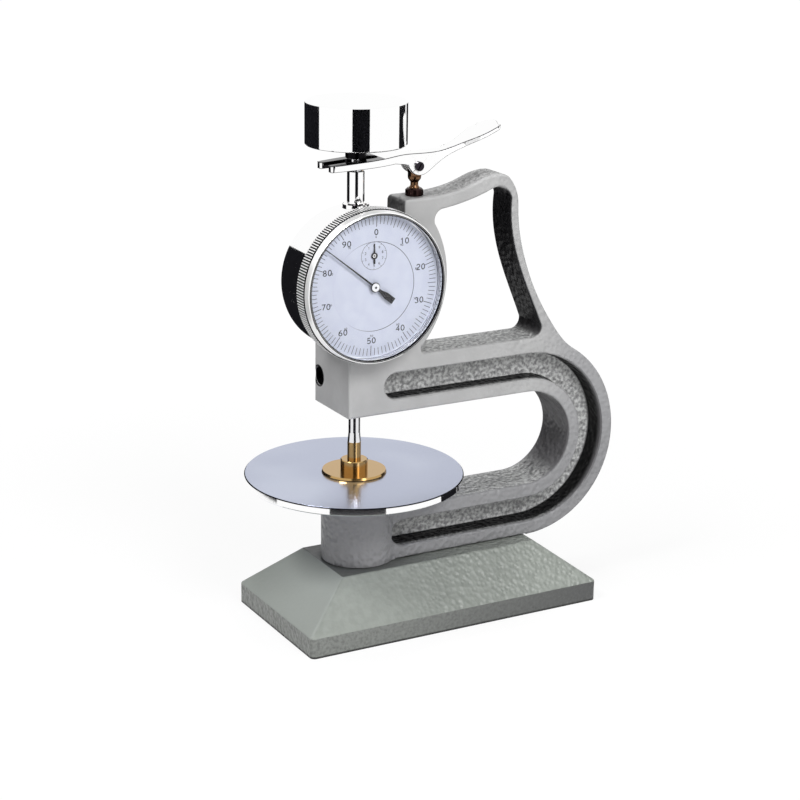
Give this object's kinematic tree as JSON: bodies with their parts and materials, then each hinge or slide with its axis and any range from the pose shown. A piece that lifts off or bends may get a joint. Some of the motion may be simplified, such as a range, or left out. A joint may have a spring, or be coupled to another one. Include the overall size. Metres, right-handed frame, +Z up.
{
  "type": "dial thickness gauge",
  "caption": "Bench dial thickness gauge: C-shaped casting with handle on a hipped base, round anvil, presser foot under a dead weight, fork lifting lever and round dial with a turning bezel.",
  "frame": {"origin": "on the bench plane, under the spindle axis", "axes": "+Z up along the spindle, -Y is the side the dial faces, +X runs from the spindle to the back of the C-shaped casting"},
  "size_m": [0.1567, 0.0852, 0.2043],
  "materials": {
    "frame_paint": "hammered light grey enamel on cast metal",
    "base_paint": "hammered grey enamel, slightly green",
    "dark_screw_steel": "blackened steel",
    "lapped_anvil": "lapped and polished",
    "chrome": "polished chrome",
    "bright_steel": "ground and bright",
    "brass": "turned brass, lacquered",
    "dial_face": "printed satin dial sheet",
    "hand_enamel": "black enamel",
    "hub_white": "white cap",
    "crystal_glass": "clear polished crystal"
  },
  "bodies": {
    "stand": {"base": "base_paint", "frame_casting": "frame_paint", "frame_bolts": "dark_screw_steel", "anvil_plate": "lapped_anvil", "anvil_grub_screw": "dark_screw_steel", "clamp_screw": "dark_screw_steel", "gauge_case": "chrome", "gauge_back_cover": "chrome", "back_cover_screws": "bright_steel", "gauge_stem": "bright_steel", "lower_bush": "brass", "upper_guide_tube": "chrome", "upper_bush": "brass", "bezel_spring_ring": "bright_steel", "dial_centre": "dial_face", "movement_front_plate": "brass", "centre_bridge": "brass", "movement_rear_plate": "brass", "movement_pillars": "brass", "movement_screws": "bright_steel", "lever_post": "brass", "lever_lock_nut": "dark_screw_steel"},
    "bezel_group": {"bezel": "chrome", "crystal": "crystal_glass", "scale_ring": "dial_face"},
    "main_hand_group": {"centre_arbor": "bright_steel", "main_hand": "hand_enamel", "main_hand_boss": "hub_white"},
    "rack_train": {"rack_pinion_arbor": "bright_steel", "rack_wheel": "brass"},
    "counter_group": {"counter_arbor": "bright_steel", "counter_wheel": "brass", "counter_hand": "hand_enamel"},
    "spindle_group": {"spindle": "bright_steel", "spindle_guide_pin": "bright_steel", "presser_foot": "brass", "weight_collar": "bright_steel"},
    "weight_group": {"dead_weight": "chrome"},
    "lever_group": {"lifting_lever": "chrome", "lever_pivot_screw": "bright_steel"}
  },
  "joints": [
    {"name": "spindle_lift", "type": "slide", "parent": "stand", "child": "spindle_group", "axis": [0, 0, 1], "range_m": [0, 0.01]},
    {"name": "main_hand_turn", "type": "hinge", "parent": "stand", "child": "main_hand_group", "pos_m": [0, 0, 0.1369], "axis": [0, 1, 0], "range_deg": [0, 3600]},
    {"name": "rack_train_turn", "type": "hinge", "parent": "stand", "child": "rack_train", "pos_m": [-0.00319, 0, 0.12554], "axis": [0, 1, 0], "range_deg": [-360, 0]},
    {"name": "counter_turn", "type": "hinge", "parent": "stand", "child": "counter_group", "pos_m": [0, 0, 0.1487], "axis": [0, 1, 0], "range_deg": [-360, 0]},
    {"name": "lever_lift", "type": "hinge", "parent": "stand", "child": "lever_group", "pos_m": [0.02505, 0, 0.1782], "axis": [0, 1, 0], "range_deg": [0, 19.8]},
    {"name": "bezel_turn", "type": "hinge", "parent": "stand", "child": "bezel_group", "pos_m": [0, 0, 0.1369], "axis": [0, 1, 0], "continuous": true},
    {"name": "weight_take_off", "type": "slide", "parent": "spindle_group", "child": "weight_group", "axis": [0, 0, 1], "range_m": [0, 0.012]}
  ],
  "couplings": [
    {"joint": "main_hand_turn", "follows": "spindle_lift", "rad_per_m": 6283.2},
    {"joint": "rack_train_turn", "follows": "spindle_lift", "rad_per_m": -628.32},
    {"joint": "counter_turn", "follows": "spindle_lift", "rad_per_m": -628.32},
    {"joint": "lever_lift", "follows": "spindle_lift", "rad_per_m": 34.5}
  ]
}
